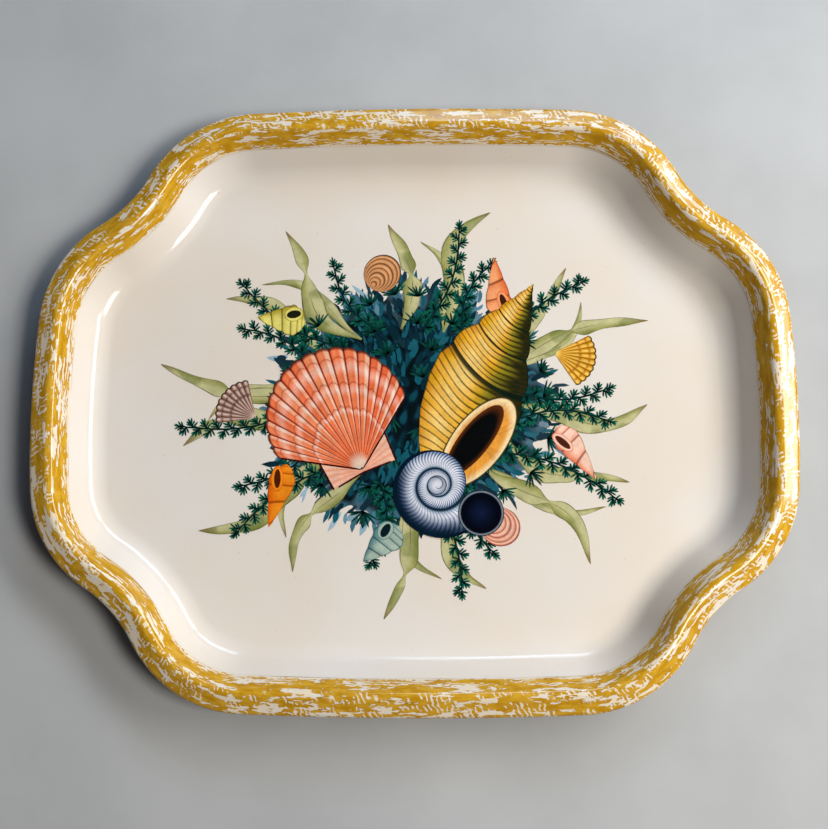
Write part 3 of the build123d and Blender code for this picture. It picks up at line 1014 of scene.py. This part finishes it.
def spindle_shell(film, centre, heading, half_length, half_width, whorls, colours):
    """A small whorled shell, its mouth end behind and its tip ahead."""
    light, deep, line = colours
    widest = 0.3
    s = np.linspace(0, 1, 100)[:, None]
    t = np.linspace(-1, 1, 25)[None]
    mouth_end = np.sin(np.minimum(s / widest, 1) * math.pi / 2) ** 0.6
    tip_end = np.minimum((1 - s) / (1 - widest), 1) ** 0.85
    profile = np.minimum(mouth_end, tip_end)
    f = (np.sqrt(s) * whorls + 0.14 * (t + 1)) % 1
    bulge = 1 + 0.09 * np.sin(math.pi * f)
    half = half_width * (profile * bulge + 0.02) * t
    colour = layered(
        light,
        (deep, smooth(0.1, -1.0, t)),
        (deep, 0.5 * smooth(0.55, 1.0, f)),
        (line, 0.85 * at_ends((0.12, 0.03), (0.92, 0.99), f)),
        (line, smooth(0.9, 0.98, np.abs(t))),
    )
    film.patch(from_place(centre, heading, half_length * (2 * s - 1), half), colour)


def oval(film, centre, heading, half_length, half_width, colour_at, lift=0, focus=(0, 0)):
    """An oval whose colour is a function of the share from a focus to the edge and the angle."""
    ring = np.linspace(0, 360, 73)
    shares = np.linspace(0.002, 1, 32)
    half = np.array([half_length, half_width])
    flat = between(focus * half, unit(ring) * half, shares)
    grid = from_place(centre, heading, flat[..., 0], flat[..., 1])
    film.patch(grid, colour_at(shares[:, None], ring[None]), lift)


def banded(light, dark, line, bands):
    """Colour function of concentric growth bands."""
    def colour_at(share, angle):
        f = (share * bands) % 1
        return layered(
            light,
            (dark, 0.7 * smooth(0.4, 1.0, f) + 0.2 * np.sin(np.radians(angle)) ** 2),
            (line, 0.9 * at_ends((0.3, 0.12), (0.86, 0.97), f)),
            (line, smooth(0.94, 0.98, share)),
        )
    return colour_at


def hollow(inner, outer):
    """Colour function of a dark mouth with a soft rim."""
    def colour_at(share, angle):
        return mix(inner, outer, smooth(0.82, 1.0, share))
    return colour_at


BLACK = srgb(6, 9, 10)
# As in the CAD model: half length and half width of each small kind, and their order round
SMALL_SIZES = {
    "spindle": (17.0, 6.5),
    "fan": (11.0, 10.0),
    "turban": (13.0, 8.0),
    "clam": (10.5, 10.0),
}
# Kind and colours: light, deep and lines, but for a fan the ribs, their light side, lines, bands
SMALL_SHELLS = (
    ("fan", srgb(222, 152, 22), srgb(250, 212, 110), srgb(74, 46, 8), srgb(176, 96, 20)),
    ("spindle", srgb(248, 164, 110), srgb(224, 104, 46), srgb(130, 54, 24)),
    ("clam", srgb(236, 172, 118), srgb(188, 116, 66), srgb(62, 30, 16)),
    ("turban", srgb(238, 224, 120), srgb(170, 152, 44), srgb(56, 62, 24)),
    ("fan", srgb(150, 112, 98), srgb(232, 204, 190), srgb(52, 28, 28), srgb(84, 46, 42)),
    ("spindle", srgb(248, 146, 30), srgb(226, 98, 8), srgb(150, 58, 8)),
    ("turban", srgb(172, 192, 178), srgb(84, 132, 138), srgb(18, 62, 72)),
    ("clam", srgb(248, 200, 176), srgb(226, 124, 88), srgb(150, 62, 46)),
    ("spindle", srgb(250, 206, 184), srgb(232, 128, 92), srgb(150, 66, 44)),
)
FIRST_SMALL_SHELL, SMALL_SHELL_LEAN = 20.0, 35.0
SMALL_WHORLS, SMALL_MOUTH_TURN = {"spindle": 5, "turban": 7}, 14.0
CLAM_BANDS, CLAM_FOCUS = 7, (-0.86, 0.2)


def small_shells(film):
    """The small shells round the group, each pointing out and leaning to one side or the other."""
    for index, (kind, *colours) in enumerate(SMALL_SHELLS):
        angle = FIRST_SMALL_SHELL + 360 * index / len(SMALL_SHELLS)
        centre = on_oval(SMALL_SHELL_REACH, angle)
        heading = angle + (SMALL_SHELL_LEAN if index % 2 else -SMALL_SHELL_LEAN)
        half_length, half_width = SMALL_SIZES[kind]
        if kind == "fan":
            hinge = from_place(centre, heading, -half_length)
            fan_shell(film, hinge, heading, 2 * half_length, colours)
        elif kind == "clam":
            bands = banded(*colours, CLAM_BANDS)
            oval(film, centre, heading, half_length, half_width, bands, focus=CLAM_FOCUS)
        else:
            whorls = SMALL_WHORLS[kind]
            spindle_shell(film, centre, heading, half_length, half_width, whorls, colours)
            light, deep, line = colours
            lip, inside = hollow(light, deep), hollow(mix(line, BLACK, 0.75), line)
            mouth = from_place(centre, heading, -half_length * 0.5, -half_width * 0.42)
            turned = heading + SMALL_MOUTH_TURN
            oval(film, mouth, turned, half_length * 0.4, half_width * 0.5, lip, 0.4)
            oval(film, mouth, turned, half_length * 0.3, half_width * 0.27, inside, 0.8)


# ---- wash

NAVY, TEAL, SKY = srgb(6, 24, 36), srgb(20, 88, 104), srgb(124, 168, 194)
WASH_STROKES = 760


def wash(film):
    """Navy and teal brushed in between the shells, feathering to pale blue outside them."""
    ring = np.linspace(0, 360, 401)
    shares = np.linspace(0.0004, 1, 76)
    ragged = 2.4 * np.sin(np.radians(ring * 23)) + 2.0 * np.sin(np.radians(ring * 41 + 60))
    edge = on_oval(WASH_REACH, ring, 0.9) + unit(ring) * ragged[:, None]
    grid = edge[None] * shares[:, None, None]
    x, y = grid[..., 0], grid[..., 1]
    tone = cloud(x, y, 8, 21)
    colour = layered(
        NAVY,
        (TEAL, 0.6 * smooth(0.52, 0.95, tone)),
        (srgb(4, 16, 12), 0.85 * smooth(0.55, 0.2, tone)),
        (SKY, 0.5 * smooth(0.84, 1.0, shares)[:, None] * cloud(x, y, 9, 4)),
    )
    film.patch(grid, colour, 0)
    random = np.random.default_rng(77)
    for _ in range(WASH_STROKES):
        angle = random.uniform(0, 360)
        out = random.uniform(0.02, 1) ** 0.5
        start = on_oval(WASH_REACH, angle, 0.95 * out)
        lean = angle + random.uniform(-34, 34)
        length = random.uniform(5, 13)
        bow = unit(lean + 90) * random.uniform(-1.2, 1.2)
        points = [start, start + unit(lean) * length * 0.5 + bow, start + unit(lean) * length]
        colour = layered(
            TEAL,
            (SKY, random.uniform(0, 0.9 * out ** 3) ** 1.8),
            (NAVY, 0.85 * (random.random() < 0.45)),
            (srgb(176, 206, 222), 0.8 * out ** 6 * (random.random() < 0.14)),
        )
        film.stroke(points, random.uniform(1.4, 3.4), colour, 1 + random.random(), 0.5, 0.02, 7)


# ---- light, floor and camera

def area_light(name, place, size, power, colour):
    """A soft rectangular light at a place in metres, aimed at the tray."""
    data = bpy.data.lights.new(name, "AREA")
    data.shape = "RECTANGLE"
    data.size, data.size_y = size
    data.energy, data.color = power, colour
    light = bpy.data.objects.new(name, data)
    bpy.context.scene.collection.objects.link(light)
    light.location = place
    light.rotation_euler = (-Vector(place)).to_track_quat("-Z", "Y").to_euler()


BACKDROP = srgb(188, 190, 192)
# Where the floor fades into the backdrop, in mm from the tray's middle, and its side in metres
FADE_START, FADE_END, FLOOR_SIZE = 330, 1300, 6.0


def stage_floor():
    """A plain pale floor under the tray that fades, for the camera only, into the backdrop."""
    paint = Paint("pale_floor", roughness=0.75)
    place = paint.place()
    tone = paint.step(paint.noise(place, 0.01, 5.0), 0.3, 0.7)
    pale = paint.mix(tone, srgb(176, 178, 180), srgb(186, 188, 190))
    distance = paint.node("VectorMath", {0: place}, operation="LENGTH")["Value"]
    far = paint.step(distance, FADE_START, FADE_END)
    seen = paint.node("LightPath", {})["Is Camera Ray"]
    faded = paint.math("MULTIPLY", far, seen)
    paint.set("Base Color", paint.mix(faded, pale, srgb(0, 0, 0)))
    paint.set("Emission Color", BACKDROP)
    paint.set("Emission Strength", faded)
    paint.set("Specular IOR Level", paint.math("MULTIPLY_ADD", far, -0.5, 0.5))
    paint.set("Normal", paint.relief(paint.noise(place, 0.4, 3.0), 0.1, 0.2))
    half = FLOOR_SIZE / 2
    corners = [(-half, -half, 0), (half, -half, 0), (half, half, 0), (-half, half, 0)]
    points = np.array(corners) + [0, 0, PAN_LOW.z]
    floor = new_piece("studio_floor", points, [[0, 1, 2, 3]], paint.material)


def lamp_at(tilt, azimuth, distance):
    """Place of a light by its tilt from straight up and its azimuth from +X, degrees and metres."""
    flat = unit(azimuth) * math.sin(math.radians(tilt)) * distance
    return (*flat, math.cos(math.radians(tilt)) * distance)


def stage_light():
    """Soft warm light from the right, a higher fill and a cool one behind, in a dim room.

    Straight up is dark, so that the varnish doesn't veil the dark inks under the camera. The
    camera itself sees a plain pale backdrop in place of the room.
    """
    world = bpy.data.worlds.new("studio")
    bpy.context.scene.world = world
    world.use_nodes = True
    room = Nodes(world.node_tree)
    direction = room.node("TexCoord", {})["Generated"]
    ramp = room.node("ValToRGB", {0: room.node("SeparateXYZ", {0: direction})[2]})[0]
    seen = room.node("LightPath", {})["Is Camera Ray"]
    background = room.tree.nodes["Background"]
    room.put(background.inputs["Color"], room.mix(seen, ramp, BACKDROP))
    stops = ramp.node.color_ramp.elements
    stops[0].color, stops[1].color = (0.11, 0.09, 0.07, 1), (0.02, 0.02, 0.025, 1)
    stops.new(0.38).color = (0.034, 0.034, 0.04, 1)
    stops.new(0.88).color = (0.04, 0.04, 0.048, 1)
    area_light("key", lamp_at(57, 22, 1.3), (1.1, 0.26), 12, (1.0, 0.98, 0.94))
    area_light("ceiling", lamp_at(38, 340, 1.4), (0.5, 0.4), 12.5, (1.0, 0.95, 0.86))
    area_light("window", lamp_at(60, 74, 1.3), (0.8, 0.3), 5.5, (0.58, 0.77, 1.0))


def stage_camera():
    """Nearly overhead and a little towards the near edge, with the picture upright."""
    eye, aim = Vector((0.018, -0.098, 0.576)), Vector((0.0016, -0.0075, 0.0176))
    data = bpy.data.cameras.new("camera")
    data.lens, data.sensor_width = 47.8, 36.0
    data.clip_start = 0.01
    camera = bpy.data.objects.new("camera", data)
    bpy.context.scene.collection.objects.link(camera)
    forward = (aim - eye).normalized()
    right = forward.cross(Vector((0, 1, 0))).normalized()
    up = right.cross(forward)
    turn = Matrix((right, up, -forward)).transposed().to_4x4()
    camera.matrix_world = Matrix.Translation(eye) @ turn
    bpy.context.scene.camera = camera


# ---- the whole tray

build_pan((
    enamel_paint(),
    lacquer_paint(),
    steel_paint("cut_edge", srgb(120, 118, 112), srgb(176, 174, 168), 1.0),
))
build_border(border_paint())
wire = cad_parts["rim_wire"]
wire.data.materials.clear()
wire.data.materials.append(steel_paint("wire_steel", srgb(118, 118, 120), srgb(168, 168, 170), 6.0))

# Piece, the CAD node it stands for, its material slot, its layer in the stack, and who draws it
PICTURE = (
    ("wash_picture", "blue_wash_print", "teal_ink", 0, wash),
    ("ribbon_weed_picture", "ribbon_weed_print", "olive_ink", 3, ribbon_weed),
    ("fern_weed_picture", "fern_weed_print", "dark_green_ink", 4, fern_weed),
    ("small_shells_picture", "small_shells_print", "orange_ink", 5, small_shells),
    ("whelk_picture", "whelk_print", "amber_ink", 6, whelk),
    ("scallop_picture", "scallop_print", "coral_ink", 10, scallop),
    ("spiral_shell_picture", "spiral_shell_print", "slate_blue_ink", 14, spiral_shell),
)
ink = ink_paint()
for name, node, slot, layer, draw in PICTURE:
    film = Film(name, node, slot, layer)
    draw(film)
    film.build(ink)

stage_floor()
stage_light()
stage_camera()
bpy.context.scene.view_settings.view_transform = "Standard"
